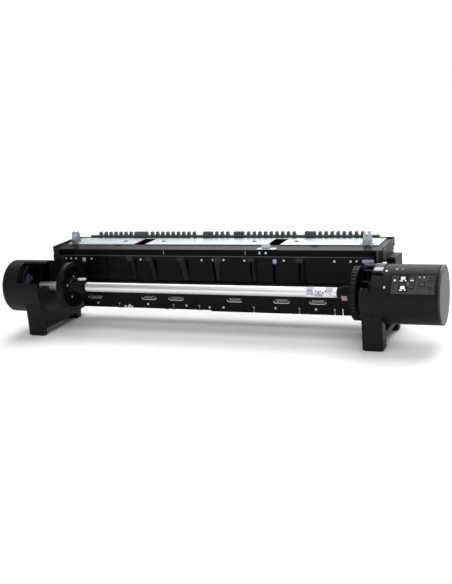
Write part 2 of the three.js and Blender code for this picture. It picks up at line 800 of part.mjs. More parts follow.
// Flange with a deep rim, a thin web and a hub on one side; `toRight` says which way the hub points.
function rollFlange(x0, hubLength, toRight) {
  const f = FLANGE;
  const bore = SPOOL.r + GAP;
  const hubEnd = f.rim + hubLength;
  const profile = [
    [bore, 0],
    [bore, hubEnd],
    [f.hub, hubEnd],
    [f.hub, 6 + f.web],
    [f.r - f.rimWall, 6 + f.web],
    [f.r - f.rimWall, f.rim],
    [f.r - 2, f.rim],
    [f.r, f.rim - 2],
    [f.r, 2],
    [f.r - 2, 0],
    [f.r - f.rimWall, 0],
    [f.r - f.rimWall, 6],
    [f.hub, 6],
    [f.hub, 0],
    [bore, 0],
  ];
  const placed = profile.map(([r, x]) => [r, toRight ? x0 + x : x0 + f.rim - x]);
  return turned(placed, 0, AXIS_Z, 40);
}

// Lock lever on top of the stopper's hub: a paddle with a round end and a pivot eye near the flange.
const LOCK = { x: -540, tip: -494, z: AXIS_Z + FLANGE.hub + 4.5, half: 10, thick: 5 };
function lockLever() {
  const outline = [
    ...arc(LOCK.tip - LOCK.half, 0, LOCK.half, -90, 90, 10),
    [LOCK.x, LOCK.half],
    [LOCK.x, -LOCK.half],
  ];
  const paddle = extrude("Z", outline, LOCK.z - LOCK.thick / 2, LOCK.z + LOCK.thick / 2);
  return join(paddle, rod("Y", 4, -LOCK.half, LOCK.half, LOCK.x, LOCK.z, 16));
}

// Torque tab on the fixed hub.
function torqueTab() {
  const r = FLANGE.hub + GAP;
  const outline = [
    ...arc(0, AXIS_Z, r, 190, 230, 4),
    ...arc(0, AXIS_Z, r + 4, 230, 190, 4),
  ];
  return extrude("X", outline, 469, 489);
}

// Blue latch at the right end of the paper guide: a thin plate standing on its pivot barrel.
function guideLatch() {
  const outline = [
    [93, 249],
    [97, 249],
    [98.5, 254],
    [98.5, 258],
    [94.5, 258],
    [93, 254],
  ];
  return join(extrude("X", outline, 512, 551), rod("X", 4.5, 514, 549, 99.4, 248.5, 16));
}

// ---------------------------------------------------------------- the unit
part("top_tray", topTray(), MATERIAL.sheet);
part("zinc_plate", zincPlate(), MATERIAL.zinc);
part("rear_comb", rearComb(), MATERIAL.dark);
part("post_bracket_left", postBracket(-632), MATERIAL.zinc);
part("post_bracket_right", postBracket(510), MATERIAL.zinc);
part("middle_bracket", middleBracket(), MATERIAL.zinc);

part("paper_guide_left", paperGuide(BAY.left + 1, GUIDE_SPLIT - GAP, CHANNELS.left), MATERIAL.casing);
part("paper_guide_right", paperGuide(GUIDE_SPLIT, BAY.right - 1, CHANNELS.right), MATERIAL.casing);
part("lower_panel_left", lowerPanel(PANEL.left, PANEL.split - GAP, PANEL.leftZ), MATERIAL.sheet);
part("lower_panel_right", lowerPanel(PANEL.split, PANEL.right, PANEL.rightZ), MATERIAL.sheet);
ROLLER.x.forEach((x, i) => part(`guide_roller_${i + 1}`, guideRoller(x), MATERIAL.steel));
part("cross_beam", crossBeam(), MATERIAL.sheet);
part("rear_panel", rearPanel(), MATERIAL.sheet);
part("guide_latch", guideLatch(), MATERIAL.blue);

for (const [word, side] of [["left", -1], ["right", 1]]) {
  part(`end_plate_${word}`, endPlate(side), MATERIAL.sheet);
  part(`leg_${word}`, leg(side), MATERIAL.casing);
  part(`foot_shoe_${word}`, footShoe(side), MATERIAL.casing);
  part(`pad_front_${word}`, rubberPad(side, -78, -64), MATERIAL.rubber);
  part(`pad_rear_${word}`, rubberPad(side, 153, 176), MATERIAL.rubber);
  part(`drum_cap_${word}`, drumCap(side), MATERIAL.cap);
}

part("drum_cover_left", leftDrumCover(), MATERIAL.casing);
part("cradle_left", leftCradle(), MATERIAL.dark);
part("cradle_roller_front", cradleRoller(-1), MATERIAL.steel);
part("cradle_roller_rear", cradleRoller(1), MATERIAL.steel);
part("shaft_holder_left", shaftHolder(), MATERIAL.blue);

part("support_right", rightSupport(), MATERIAL.casing);
part("cradle_right", rightCradle(), MATERIAL.dark);
part("release_lever", releaseLever(), MATERIAL.blue);
part("drum_cover_right", rightDrumCover(), MATERIAL.casing);
part("panel_plate", panelPlate(), MATERIAL.casing, panelFrame);
for (const name of Object.keys(CELLS)) {
  const isWindow = name.startsWith("display");
  const body = isWindow ? displayWindow(name) : panelKey(name);
  part(name, body, isWindow ? MATERIAL.window : MATERIAL.key, panelFrame);
}
for (const name of Object.keys(ARROWS)) {
  part(name, panelKey(name), MATERIAL.key, panelFrame);
}
part("control_board", controlBoard(), MATERIAL.board, panelFrame);
part("gear_plate", gearPlate(), MATERIAL.steel);
part("drive_motor", driveMotor(), MATERIAL.dark);
part("drive_pinion", drivePinion(), MATERIAL.steel);

part("spool_shaft", spoolShaft(), MATERIAL.aluminium);
part("spool_gear", spoolGear(), MATERIAL.dark);
part("flange_right", rollFlange(FIXED_FLANGE_X, 60, false), MATERIAL.dark);
part("torque_tab", torqueTab(), MATERIAL.tan);
part("flange_left", rollFlange(STOPPER_X, 58, true), MATERIAL.dark);
part("lock_lever", lockLever(), MATERIAL.blue);

// The origin is on the floor below the middle of the unit.
unit.position.y = -(COMB.back - DRUM.r) / 2;

export default unit;
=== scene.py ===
import math

import bmesh
import bpy
from mathutils import Matrix, Vector

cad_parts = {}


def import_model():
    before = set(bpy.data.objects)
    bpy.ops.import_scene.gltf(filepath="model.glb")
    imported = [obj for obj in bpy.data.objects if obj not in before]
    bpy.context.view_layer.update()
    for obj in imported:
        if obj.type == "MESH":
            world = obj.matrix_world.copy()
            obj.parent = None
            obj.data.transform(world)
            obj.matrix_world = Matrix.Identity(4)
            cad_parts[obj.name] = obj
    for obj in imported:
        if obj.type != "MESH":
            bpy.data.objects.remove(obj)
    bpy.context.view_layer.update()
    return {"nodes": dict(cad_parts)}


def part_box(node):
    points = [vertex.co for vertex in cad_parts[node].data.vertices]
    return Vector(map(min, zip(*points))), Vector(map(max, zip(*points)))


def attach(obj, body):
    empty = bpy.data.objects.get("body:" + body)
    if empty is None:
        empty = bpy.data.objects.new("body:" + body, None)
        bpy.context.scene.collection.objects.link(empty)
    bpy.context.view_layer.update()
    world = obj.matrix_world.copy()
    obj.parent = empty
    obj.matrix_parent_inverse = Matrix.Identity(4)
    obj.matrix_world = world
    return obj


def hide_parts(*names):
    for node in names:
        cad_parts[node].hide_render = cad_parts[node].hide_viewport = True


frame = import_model()

# ---------------------------------------------------------------- the shared frame, in millimetres
# Sizes below are in millimetres, with X as in the frame, Y counted from the spool axis and Z from the floor.
MM = 0.001
spool_low, spool_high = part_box("spool_shaft")
AXIS_Y = (spool_low.y + spool_high.y) / 2 / MM
AXIS_Z = (spool_low.z + spool_high.z) / 2 / MM
R_DRUM = (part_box("drum_cap_left")[1].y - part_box("drum_cap_left")[0].y) / 2 / MM


def P(x, y, z):
    """A point of the frame, in metres, from those millimetres."""
    return Vector((x * MM, (y + AXIS_Y) * MM, z * MM))


# ---------------------------------------------------------------- materials
def material(name):
    m = bpy.data.materials.new(name)
    m.use_nodes = True
    tree = m.node_tree
    shader = tree.nodes["Principled BSDF"]
    return m, tree, shader


def link(tree, a, b):
    tree.links.new(a, b)


def noise(tree, scale, detail=3.0, rough=0.5, stretch=None):
    """Noise in the frame's own space; stretch multiplies the scale along each axis."""
    where = tree.nodes.new("ShaderNodeTexCoord")
    source = where.outputs["Object"]
    if stretch:
        mapping = tree.nodes.new("ShaderNodeMapping")
        mapping.inputs["Scale"].default_value = stretch
        link(tree, source, mapping.inputs["Vector"])
        source = mapping.outputs["Vector"]
    n = tree.nodes.new("ShaderNodeTexNoise")
    n.inputs["Scale"].default_value = scale
    n.inputs["Detail"].default_value = detail
    n.inputs["Roughness"].default_value = rough
    link(tree, source, n.inputs["Vector"])
    return n.outputs["Fac"]


def ramp(tree, value, stops):
    r = tree.nodes.new("ShaderNodeValToRGB")
    while len(r.color_ramp.elements) < len(stops):
        r.color_ramp.elements.new(0.5)
    for element, (at, colour) in zip(r.color_ramp.elements, stops):
        element.position = at
        element.color = (*colour, 1) if len(colour) == 3 else colour
    link(tree, value, r.inputs["Fac"])
    return r.outputs["Color"]


def spread(tree, value, low, high):
    r = tree.nodes.new("ShaderNodeMapRange")
    r.inputs["To Min"].default_value = low
    r.inputs["To Max"].default_value = high
    link(tree, value, r.inputs["Value"])
    return r.outputs["Result"]


def bump(tree, shader, height, strength, distance):
    b = tree.nodes.new("ShaderNodeBump")
    b.inputs["Strength"].default_value = strength
    b.inputs["Distance"].default_value = distance
    link(tree, height, b.inputs["Height"])
    link(tree, b.outputs["Normal"], shader.inputs["Normal"])


def shade(colour, k):
    return tuple(c * k for c in colour)


def plastic(name, colour, rough=0.45, grain=2200, depth=0.00006, specular=0.3, mottle=0.12):
    """Moulded plastic: spark-eroded grain, slight cloudiness in colour, rubbed patches in the gloss."""
    m, tree, shader = material(name)
    cloud = noise(tree, 14, 4, 0.6)
    base = ramp(tree, cloud, [(0.3, shade(colour, 1 - mottle)), (0.7, shade(colour, 1 + mottle))])
    link(tree, base, shader.inputs["Base Color"])
    shader.inputs["Specular IOR Level"].default_value = specular
    wear = noise(tree, 55, 5, 0.65)
    link(tree, spread(tree, wear, rough - 0.06, rough + 0.08), shader.inputs["Roughness"])
    bump(tree, shader, noise(tree, grain, 2, 0.5), 0.35, depth)
    return m


def powder(name, colour, rough=0.35, specular=0.5):
    """Powder-coated sheet steel: orange peel a few millimetres across under a fine grain."""
    m, tree, shader = material(name)
    cloud = noise(tree, 9, 3, 0.5)
    base = ramp(tree, cloud, [(0.35, shade(colour, 0.9)), (0.65, shade(colour, 1.12))])
    link(tree, base, shader.inputs["Base Color"])
    shader.inputs["Specular IOR Level"].default_value = specular
    link(tree, spread(tree, noise(tree, 90, 4, 0.6), rough - 0.05, rough + 0.07), shader.inputs["Roughness"])
    bump(tree, shader, noise(tree, 1300, 3, 0.6), 0.2, 0.00003)
    return m


def metal(name, colour, rough=0.3, stretch=(1, 1, 1), scale=300, streak=0.08, depth=0.00002):
    """Bare metal with fine lines drawn along one direction."""
    m, tree, shader = material(name)
    lines = noise(tree, scale, 4, 0.6, stretch)
    base = ramp(tree, lines, [(0.3, shade(colour, 1 - streak)), (0.7, colour)])
    link(tree, base, shader.inputs["Base Color"])
    link(tree, spread(tree, lines, rough - 0.07, rough + 0.09), shader.inputs["Roughness"])
    shader.inputs["Metallic"].default_value = 1.0
    bump(tree, shader, lines, 0.3, depth)
    return m


casing = plastic("charcoal_plastic", (0.0068, 0.0068, 0.0071), rough=0.5, specular=0.13)
cap_plastic = plastic("cap_plastic", (0.020, 0.020, 0.020), rough=0.42, specular=0.3)
black_plastic = plastic("black_plastic", (0.0055, 0.0055, 0.0055), rough=0.38, specular=0.16, grain=1500)
guide_plastic = plastic("guide_plastic", (0.0025, 0.0025, 0.0025), rough=0.42, specular=0.1, grain=900)
comb_plastic = plastic("comb_plastic", (0.085, 0.085, 0.086), rough=0.5, specular=0.4)
sheet_black = powder("black_sheet", (0.0025, 0.0025, 0.0026), rough=0.36, specular=0.1)
tray_black = powder("tray_sheet", (0.002, 0.002, 0.0021), rough=0.32, specular=0.05)
end_sheet = powder("end_sheet", (0.02, 0.02, 0.0205), rough=0.5, specular=0.2)
zinc = metal("zinc_plating", (0.38, 0.43, 0.435), rough=0.42, scale=60, streak=0.1, stretch=(0.6, 1, 1))
zinc_blue = metal("zinc_bracket", (0.42, 0.49, 0.54), rough=0.35, scale=60, streak=0.12)
aluminium = metal("spool_aluminium", (0.80, 0.805, 0.805), rough=0.4, scale=420, streak=0.05,
                  stretch=(0.03, 1, 1))
steel = metal("roller_steel", (0.24, 0.24, 0.24), rough=0.25, scale=400, streak=0.15, stretch=(1, 0.2, 0.2))
screw_steel = metal("screw_steel", (0.74, 0.74, 0.72), rough=0.35, scale=900, streak=0.2)
blue = plastic("touch_blue", (0.30, 0.37, 0.52), rough=0.38, specular=0.5, mottle=0.05)
# A darker copy of the touch blue for parts inside the left drum's window: painted shade.
window_shade_blue = plastic("shaft_holder_blue_painted_shade", (0.05, 0.062, 0.10), rough=0.45, specular=0.3, mottle=0.05)
# A darker copy of the lever's blue for the band on its top: painted shade.
painted_shade_blue = plastic("lever_band_blue", (0.045, 0.06, 0.10), rough=0.45, specular=0.3, mottle=0.05)
pale_blue = plastic("lever_blue", (0.25, 0.265, 0.31), rough=0.38, specular=0.45, mottle=0.05)
tan = plastic("tan_plastic", (0.36, 0.31, 0.22), rough=0.45, specular=0.4, mottle=0.08)
panel_plastic = plastic("panel_plastic", (0.034, 0.034, 0.0345), rough=0.45, specular=0.25)
dark_key = plastic("dark_key_plastic", (0.044, 0.044, 0.045), rough=0.45, specular=0.35)
window_gloss = plastic("display_window", (0.002, 0.002, 0.002), rough=0.3, specular=0.12, grain=300,
                       depth=0.00001)
board_green = plastic("circuit_board", (0.02, 0.07, 0.035), rough=0.45)
rubber = plastic("rubber", (0.01, 0.01, 0.01), rough=0.8, specular=0.2, grain=700, depth=0.0002)
flange_plastic = plastic("flange_plastic", (0.0035, 0.0035, 0.0035), rough=0.42, specular=0.12, grain=1500)
# A lighter copy of the flange plastic for the fixed flange's lattice bars: painted highlights.
lattice_highlight_plastic = plastic("flange_bar_plastic", (0.008, 0.008, 0.008), rough=0.42, specular=0.22, grain=1500)
# A lighter, glossier copy of the flange plastic for the lips round the rims: a painted highlight on top of
# real gloss.
rim_highlight_gloss = plastic("flange_rim_gloss", (0.012, 0.012, 0.012), rough=0.22, specular=0.9, grain=1500)
# A lighter copy of the guide plastic for the channel walls: painted light.
rib_painted_light_plastic = plastic("guide_rib_plastic", (0.010, 0.010, 0.010), rough=0.42, specular=0.2)
tab_plastic = plastic("guide_tab_plastic", (0.011, 0.011, 0.011), rough=0.4, specular=0.25)
# A lighter sheet; along the guide's top band it is a painted highlight.
band_sheet = powder("guide_band_sheet", (0.055, 0.055, 0.055), rough=0.4)
lock_blue = plastic("lock_blue", (0.42, 0.5, 0.62), rough=0.4, specular=0.5, mottle=0.05)
label_paper = plastic("label_paper", (0.86, 0.86, 0.88), rough=0.6, specular=0.3, grain=1800, mottle=0.03)
label_ink = plastic("label_ink", (0.16, 0.17, 0.28), rough=0.5, specular=0.3, mottle=0.1)
label_tint = plastic("label_tint", (0.46, 0.50, 0.66), rough=0.55, specular=0.3, mottle=0.2)
carrier_steel = metal("carrier_steel", (0.20, 0.20, 0.20), rough=0.35, scale=300, streak=0.2)
# Bright steel for the lower edges of the roller carriers: a painted highlight.
carrier_highlight_steel = metal("carrier_painted_highlight_steel", (0.55, 0.55, 0.54), rough=0.3, scale=300, streak=0.2)
grey_mark = plastic("grey_mark", (0.22, 0.22, 0.22), rough=0.5, specular=0.3, mottle=0.04)
white_mark = plastic("white_mark", (0.80, 0.81, 0.82), rough=0.5, specular=0.3, mottle=0.04)
key_line = plastic("key_line", (0.002, 0.002, 0.002), rough=0.6, specular=0.1)

NODE_MATERIAL = {
    "top_tray": tray_black,
    "zinc_plate": zinc,
    "rear_comb": comb_plastic,
    "post_bracket_left": zinc_blue,
    "post_bracket_right": zinc_blue,
    "middle_bracket": zinc_blue,
    "paper_guide_left": guide_plastic,
    "paper_guide_right": guide_plastic,
    "lower_panel_left": sheet_black,
    "lower_panel_right": sheet_black,
    "cross_beam": sheet_black,
    "rear_panel": sheet_black,
    "end_plate_left": end_sheet,
    "end_plate_right": end_sheet,
    "leg_left": casing,
    "leg_right": casing,
    "foot_shoe_left": casing,
    "foot_shoe_right": casing,
    "drum_cap_left": cap_plastic,
    "drum_cap_right": cap_plastic,
    "drum_cover_left": casing,
    "drum_cover_right": casing,
    "support_right": casing,
    "cradle_left": black_plastic,
    "cradle_right": black_plastic,
    # The holder takes the darker blue: painted shade inside the window.
    "shaft_holder_left": window_shade_blue,
    "release_lever": pale_blue,
    "guide_latch": blue,
    "lock_lever": pale_blue,
    "torque_tab": tan,
    "panel_plate": panel_plastic,
    "display_upper": window_gloss,
    "display_lower": window_gloss,
    "control_board": board_green,
    "gear_plate": steel,
    "drive_motor": black_plastic,
    "drive_pinion": steel,
    "spool_shaft": aluminium,
    "spool_gear": black_plastic,
    "flange_left": black_plastic,
    "flange_right": black_plastic,
    "cradle_roller_front": steel,
    "cradle_roller_rear": steel,
}
for word in ("mode_key_upper", "mode_key_lower", "square_key", "up_key", "down_key"):
    NODE_MATERIAL[word] = dark_key
for word in ("pad_front_left", "pad_front_right", "pad_rear_left", "pad_rear_right"):
    NODE_MATERIAL[word] = rubber
for i in range(6):
    NODE_MATERIAL[f"guide_roller_{i + 1}"] = steel


def soften(node, width, segments=2):
    """Rounds a carried-over node's edges: its split vertices are welded and its flat faces rebuilt first."""
    weld = node.modifiers.new("weld", "WELD")
    weld.merge_threshold = 1e-5
    flat = node.modifiers.new("flat", "DECIMATE")
    flat.decimate_type = "DISSOLVE"
    flat.angle_limit = math.radians(0.5)
    edge = node.modifiers.new("edge", "BEVEL")
    edge.width = width * MM
    edge.segments = segments
    edge.limit_method = "ANGLE"
    edge.angle_limit = math.radians(32)
    edge.harden_normals = False
    for polygon in node.data.polygons:
        polygon.use_smooth = False


for name, node in frame["nodes"].items():
    node.data.materials.clear()
    node.data.materials.append(NODE_MATERIAL[name])


# ---------------------------------------------------------------- building pieces
def piece(name, bm, mats, body="frame", replaces=(), bevel=0.0, segments=2, sharp=30,
          outward=True, thickness=0.0):
    """Makes an object of a bmesh; it rides on a body and may stand for CAD nodes."""
    if outward:
        bmesh.ops.recalc_face_normals(bm, faces=bm.faces)
    mesh = bpy.data.meshes.new(name)
    bm.to_mesh(mesh)
    bm.free()
    for m in mats:
        mesh.materials.append(m)
    mesh.polygons.foreach_set("use_smooth", [True] * len(mesh.polygons))
    mesh.set_sharp_from_angle(angle=math.radians(sharp))
    obj = bpy.data.objects.new(name, mesh)
    bpy.context.scene.collection.objects.link(obj)
    if thickness:
        wall = obj.modifiers.new("wall", "SOLIDIFY")
        wall.thickness = thickness * MM
        wall.offset = -1
    if bevel:
        edge = obj.modifiers.new("edge", "BEVEL")
        edge.width = bevel * MM
        edge.segments = segments
        edge.limit_method = "ANGLE"
        edge.angle_limit = math.radians(sharp)
        edge.harden_normals = True
    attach(obj, body)
    if replaces:
        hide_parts(*replaces)
    return obj


def spun(x, r, degrees):
    """A point at r from the spool axis, at an angle counted upwards from the front."""
    t = math.radians(degrees)
    return P(x, -r * math.cos(t), AXIS_Z + r * math.sin(t))


TILT_DEGREES = 54.5  # slope of the control panel, counted up from level
TILT = math.radians(TILT_DEGREES)


def on_panel(x, up, out):
    """A point of the control panel: X as the unit, up along the panel, out from the spool axis."""
    return P(
        x,
        up * math.cos(TILT) - out * math.sin(TILT),
        AXIS_Z + up * math.sin(TILT) + out * math.cos(TILT),
    )


def lathe(bm, profile, steps=144, low=0, high=360, index=0, place=spun):
    """Turns a profile of (x, radius) about the spool axis, or places it with another function."""
    whole = high - low >= 360
    rings = []
    for i in range(steps if whole else steps + 1):
        degrees = low + (high - low) * i / steps
        rings.append([bm.verts.new(place(x, r, degrees)) for x, r in profile])
    for i in range(steps):
        here, there = rings[i], rings[(i + 1) % len(rings)]
        for j in range(len(profile) - 1):
            bm.faces.new((here[j], here[j + 1], there[j + 1], there[j])).material_index = index
    bmesh.ops.remove_doubles(bm, verts=[v for ring in rings for v in ring], dist=1e-7)


BLOCK_FACES = ((0, 1, 3, 2), (4, 6, 7, 5), (0, 4, 5, 1), (2, 3, 7, 6), (0, 2, 6, 4), (1, 5, 7, 3))


def block(bm, xs, radii, angles, place=spun, index=0):
    """A curved block between two places in X, two radii and two angles."""
    corners = [bm.verts.new(place(x, r, t)) for x in xs for r in radii for t in angles]
    for quad in BLOCK_FACES:
        bm.faces.new([corners[i] for i in quad]).material_index = index


def tapered_rib(bm, xs, ends, t, place):
    """A radial rib; each end is a radius and a half width in degrees."""
    corners = [bm.verts.new(place(x, r, t + side * w)) for x in xs for r, w in ends for side in (-1, 1)]
    for quad in BLOCK_FACES:
        bm.faces.new([corners[i] for i in quad])


PLACE = {
    "X": lambda u, v, w: P(w, u, v),
    "Y": lambda u, v, w: P(u, w, v),
    "Z": lambda u, v, w: P(u, v, w),
    "panel": on_panel,
}


def prism(bm, axis, outline, a, b, index=0):
    """Extrudes an outline: [y, z] along X, [x, z] along Y, [x, y] along Z, [x, up] out of the panel."""
    place = PLACE[axis]
    low = [bm.verts.new(place(u, v, a)) for u, v in outline]
    top = [bm.verts.new(place(u, v, b)) for u, v in outline]
    faces = [bm.faces.new(low), bm.faces.new(list(reversed(top)))]
    for i in range(len(outline)):
        j = (i + 1) % len(outline)
        faces.append(bm.faces.new((low[i], top[i], top[j], low[j])))
    for f in faces:
        f.material_index = index


def rect(u0, u1, v0, v1):
    return [(u0, v0), (u1, v0), (u1, v1), (u0, v1)]


def rounded(u0, u1, v0, v1, r, steps=5):
    """A rectangle with round corners."""
    points = []
    corners = ((u1 - r, v1 - r, 0), (u0 + r, v1 - r, 90), (u0 + r, v0 + r, 180), (u1 - r, v0 + r, 270))
    for cu, cv, start in corners:
        for i in range(steps + 1):
            t = math.radians(start + 90 * i / steps)
            points.append((cu + r * math.cos(t), cv + r * math.sin(t)))
    return points


def circle(u, v, r, steps=40):
    return [(u + r * math.cos(2 * math.pi * i / steps), v + r * math.sin(2 * math.pi * i / steps))
            for i in range(steps)]


def arc(u, v, r, low, high, steps):
    return [(u + r * math.cos(math.radians(low + (high - low) * i / steps)),
             v + r * math.sin(math.radians(low + (high - low) * i / steps))) for i in range(steps + 1)]


def screw(bm, at, towards, r=4.0, height=2.2, index=0):
    """Pan head with a cross recess; towards is the direction its head looks in."""
    out = Vector(towards).normalized()
    side = out.orthogonal().normalized()
    other = out.cross(side)
    rings = ((1.0, 0.0, 0), (1.0, 0.45, 0), (0.86, 0.85, 0), (0.62, 1.0, 1), (0.5, 0.35, 1), (0.0, 0.25, 0))
    steps = 24
    loops = []
    for radius, up, crossed in rings:
        loop = []
        for i in range(steps):
            t = 2 * math.pi * i / steps
            k = radius * r * (0.35 + 0.65 * abs(math.cos(2 * t)) ** 0.6 if crossed else 1)
            sideways = (side * math.cos(t) + other * math.sin(t)) * k
            loop.append(bm.verts.new(at + (sideways + out * up * height) * MM))
        loops.append(loop)
    for a, b in zip(loops, loops[1:]):
        for i in range(steps):
            j = (i + 1) % steps
            bm.faces.new((a[i], a[j], b[j], b[i])).material_index = index
    bmesh.ops.remove_doubles(bm, verts=loops[-1], dist=1e-7)


# ---------------------------------------------------------------- drums
WALL_RADIUS = 93.2  # inner walls and trims stop just inside the drum shells
LEFT_WINDOW = (-736.5, 19.4, 80.0)  # left end in X, lower and upper edge in degrees above the front
RIGHT_WINDOW = (580.0, 19.4, 84.0)  # right end in X, lower and upper edge
LEVER_SLOT = (583.0, 617.0, 51.0, 100.0)  # both ends in X, both edges
PANEL_X = (643.0, 780.0)  # the control panel's recess: its ends in X
PANEL_HALF = 33.0  # half its height
PANEL_MIDDLE = 90 - TILT_DEGREES
PANEL_SPAN = math.degrees(math.asin(PANEL_HALF / R_DRUM))
RECESS_OUT = 83.8  # floor of the recess, out from the spool axis
RIM_OUT = 85.0  # everything of the recess's rim is further out than this


def drum_shell(bm, x0, x1, holes, grooves=()):
    """Curved shell in a fine grid; a groove is a narrow seam round it, a hole is (x0, x1, low, high)."""
    xs = {x0, x1}
    for g in grooves:
        xs |= {g - 0.8, g, g + 0.8}
    ts = {2.0 * i for i in range(180)}
    for ha, hb, low, high in holes:
        xs |= {ha, hb}
        ts = {t for t in ts if abs(t - low) > 0.5 and abs(t - high) > 0.5} | {low, high}
    xs, ts = sorted(xs), sorted(ts)

    def inside(x, t):
        return any(ha < x < hb and low < t < high for ha, hb, low, high in holes)

    grid = [[bm.verts.new(spun(x, R_DRUM - (1.1 if x in grooves else 0), t)) for x in xs] for t in ts]
    for i in range(len(ts)):
        k = (i + 1) % len(ts)
        middle_t = (ts[i] + (ts[k] if k else 360)) / 2
        for j in range(len(xs) - 1):
            if not inside((xs[j] + xs[j + 1]) / 2, middle_t):
                bm.faces.new((grid[i][j], grid[i][j + 1], grid[k][j + 1], grid[k][j]))
    bmesh.ops.delete(bm, geom=[v for v in bm.verts if not v.link_faces], context="VERTS")


def drum_left():
    """Shell of the left drum with its loading window, the inner wall and the trims round the window."""
    low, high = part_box("drum_cover_left")
    x0, x1 = low.x / MM, high.x / MM
    bm = bmesh.new()
    left, low_edge, high_edge = LEFT_WINDOW
    drum_shell(bm, x0, x1, [(left, x1, low_edge, high_edge)], grooves=(-778.0,))
    piece("left_drum_shell", bm, [casing], replaces=["drum_cover_left"], thickness=2.2, bevel=0.5,
          outward=False)
    ledge = bmesh.new()
    trim = [(left, 93.8), (x1 - 0.5, 93.8), (x1 - 0.5, 89), (left, 89), (left, 93.8)]
    lathe(ledge, trim, 4, high_edge - 3, high_edge)
    slot = [(-91, 6), (-19.1, 6)] + arc(0, 0, 20, 180, 360, 24) + [(20, 90.8)]
    rim = arc(0, 0, WALL_RADIUS, 77.6, 176.2 - 360, 90)
    prism(ledge, "X", [(y, z + AXIS_Z) for y, z in slot + rim], x1 - 4.5, x1 - 0.3)
    side = [(left - 4.5, 92.8), (left, 92.8), (left, 86), (left - 4.5, 86), (left - 4.5, 92.8)]
    lathe(ledge, side, 40, 17, 83)
    piece("left_window_ledge", ledge, [black_plastic], bevel=0.5)


def drum_right():
    """Shell of the right drum with the walls of the control panel's recess."""
    low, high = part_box("drum_cover_right")
    x0, x1 = low.x / MM, high.x / MM
    bm = bmesh.new()
    a, b = PANEL_MIDDLE - PANEL_SPAN, PANEL_MIDDLE + PANEL_SPAN
    drum_shell(bm, x0, x1, [(PANEL_X[0], PANEL_X[1], a, b)], grooves=(x1 - 3.4,))
    up = Vector((0, math.cos(TILT), math.sin(TILT)))
    out = Vector((0, -math.sin(TILT), math.cos(TILT)))
    axis = P(0, 0, AXIS_Z)

    def on_rim(v):
        d = v.co - axis
        return (PANEL_X[0] - 0.5) * MM < v.co.x < (PANEL_X[1] + 0.5) * MM and d.dot(out) > RIM_OUT * MM

    floor_of = {}
    for edge in [e for e in bm.edges if e.is_boundary and all(on_rim(v) for v in e.verts)]:
        first = edge.link_loops[0].vert
        second = edge.other_vert(first)
        for v in (first, second):
            if v not in floor_of:
                d = v.co - axis
                along = Vector((v.co.x, 0, 0)) + up * d.dot(up)
                floor_of[v] = bm.verts.new(axis + along + out * RECESS_OUT * MM)
        bm.faces.new((second, first, floor_of[first], floor_of[second]))
    piece("right_drum_shell", bm, [casing], replaces=["drum_cover_right"], thickness=2.4, bevel=0.5,
          outward=False)


def support():
    """Right support: shell with window and lever slot, inner walls, the lever's well, the window's trims."""
    low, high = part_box("support_right")
    x0, x1 = low.x / MM, high.x / MM
    bm = bmesh.new()
    right, low_edge, high_edge = RIGHT_WINDOW
    drum_shell(bm, x0, x1, [(x0, right, low_edge, high_edge), LEVER_SLOT], grooves=(581.5,))
    piece("right_support_shell", bm, [casing], replaces=["support_right"], thickness=3, bevel=0.5,
          outward=False)
    walls = bmesh.new()
    slot = [(22, 90.5), (22, 12)] + arc(0, 0, 20, 20, -160, 24) + [(-18.8, 15), (-91.9, 15)]
    rim = arc(0, 0, WALL_RADIUS, 170.7, 76.3 + 360, 90)
    outline = [(y, z + AXIS_Z) for y, z in slot + rim]
    prism(walls, "X", outline, x0 + 0.4, x0 + 5)
    prism(walls, "X", outline, 579.5, 583)
    prism(walls, "X", circle(0, AXIS_Z, WALL_RADIUS, 120), 615.2, x1 - 0.3)
    well = [(583.2, 84), (616.8, 84), (616.8, 80), (583.2, 80), (583.2, 84)]
    lathe(walls, well, 30, 49.5, 102)
    piece("right_support_walls", walls, [black_plastic], bevel=0.8)
    trim = bmesh.new()
    for start, outer, inner, steps, low_angle, high_angle in (
        (0.5, 94, 88, 4, 81, 84),
        (5.2, 88, 85, 2, 72, 74),
        (5.2, 78, 74, 2, 42, 45),
    ):
        a, b = x0 + start, right - 0.7
        strip = [(a, outer), (b, outer), (b, inner), (a, inner), (a, outer)]
        lathe(trim, strip, steps, low_angle, high_angle)
    piece("right_window_ledge", trim, [casing], bevel=0.8)


def caps():
    """End caps of both drums, with a rounded rim and a collar that fits inside the drum shell."""
    for word, side in (("left", -1), ("right", 1)):
        low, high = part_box("drum_cap_" + word)
        end = (high.x if side > 0 else -low.x) / MM
        seat = end - 6.5
        spigot = R_DRUM - 3.3
        edge = [(end - 1.4 + 1.4 * math.sin(math.radians(t)), R_DRUM - 1.4 + 1.4 * math.cos(math.radians(t)))
                for t in range(0, 91, 15)]
        profile = [(seat, spigot), (seat, R_DRUM - 0.2), (seat + 0.4, R_DRUM), *edge, (end, 60), (end, 0)]
        collar = [(seat, spigot), (seat - 6, spigot), (seat - 6, spigot - 3)]
        collar += [(seat + 2, spigot - 3), (seat + 2, 0)]
        bm = bmesh.new()
        for line in (profile, collar):
            lathe(bm, [(side * x, r) for x, r in line], 180)
        piece("drum_end_" + word, bm, [cap_plastic], replaces=["drum_cap_" + word], sharp=50)


